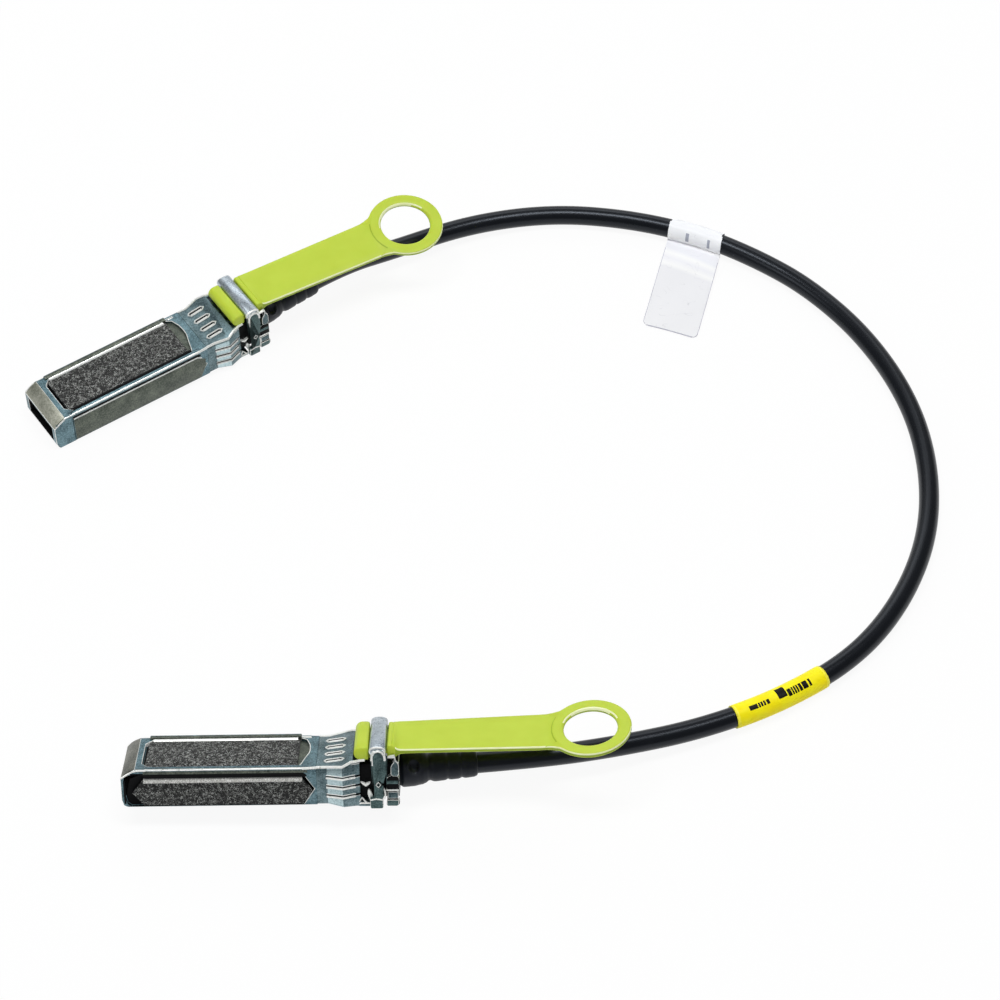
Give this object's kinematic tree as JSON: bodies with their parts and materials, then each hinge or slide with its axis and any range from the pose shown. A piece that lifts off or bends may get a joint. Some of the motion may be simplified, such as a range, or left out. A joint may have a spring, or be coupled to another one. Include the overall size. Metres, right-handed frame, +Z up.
{
  "type": "direct attach copper cable",
  "caption": "Short twin-axial cable with a latching metal plug and a pull tab with a finger ring at each end, lying in an open loop.",
  "frame": {"origin": "on the floor, under the middle of the box round both plugs", "axes": "+X from the plugs towards the loop of cable, +Y from the leaning plug to the flat one, +Z up"},
  "size_m": [0.2009, 0.1729, 0.0187],
  "materials": {
    "cast_metal": "satin die-cast zinc, plated",
    "inlay": "fine dark grain",
    "sheet_metal": "bright pressed sheet",
    "frame_metal": "satin cast metal",
    "pull_tab": "soft moulded plastic",
    "card": "lacquered board",
    "contacts": "gilt",
    "boot": "matt moulded rubber",
    "jacket": "smooth extruded jacket",
    "label": "printed film with plain dark bars",
    "clear_film": "clear folded film"
  },
  "bodies": {
    "cable_set": {"shell_a": "cast_metal", "top_pad_a": "inlay", "near_pad_a": "inlay", "far_pad_a": "inlay", "spring_collar_a": "sheet_metal", "rear_frame_a": "frame_metal", "latch_pin_a": "sheet_metal", "contact_card_a": "card", "upper_contacts_a": "contacts", "lower_contacts_a": "contacts", "boot_a": "boot", "shell_b": "cast_metal", "top_pad_b": "inlay", "near_pad_b": "inlay", "far_pad_b": "inlay", "spring_collar_b": "sheet_metal", "rear_frame_b": "frame_metal", "latch_pin_b": "sheet_metal", "contact_card_b": "card", "upper_contacts_b": "contacts", "lower_contacts_b": "contacts", "boot_b": "boot", "cable": "jacket", "yellow_label": "label", "clear_tag": "clear_film"},
    "pull_a": {"bail_a": "sheet_metal", "pull_tab_a": "pull_tab"},
    "latch_a": {"latch_lever_a": "sheet_metal"},
    "pull_b": {"bail_b": "sheet_metal", "pull_tab_b": "pull_tab"},
    "latch_b": {"latch_lever_b": "sheet_metal"}
  },
  "joints": [
    {"name": "pull_slide_a", "type": "slide", "parent": "cable_set", "child": "pull_a", "axis": [0.9998, 0.001, 0.0215], "range_m": [0, 0.0015], "stiffness_N_per_m": 600, "springref_m": -0.002},
    {"name": "latch_rock_a", "type": "hinge", "parent": "cable_set", "child": "latch_a", "pos_m": [0.00182, -0.0742, 0.00507], "axis": [0.0082, 0.9063, -0.4225], "range_deg": [0, 5]},
    {"name": "pull_slide_b", "type": "slide", "parent": "cable_set", "child": "pull_b", "axis": [0.8288, 0.5591, 0.0215], "range_m": [0, 0.0015], "stiffness_N_per_m": 600, "springref_m": -0.002},
    {"name": "latch_rock_b", "type": "hinge", "parent": "cable_set", "child": "latch_b", "pos_m": [-0.03038, 0.04546, 0.00239], "axis": [-0.5592, 0.829, 0], "range_deg": [0, 5]}
  ],
  "couplings": [
    {"joint": "latch_rock_a", "follows": "pull_slide_a", "rad_per_m": 58},
    {"joint": "latch_rock_b", "follows": "pull_slide_b", "rad_per_m": 58}
  ]
}
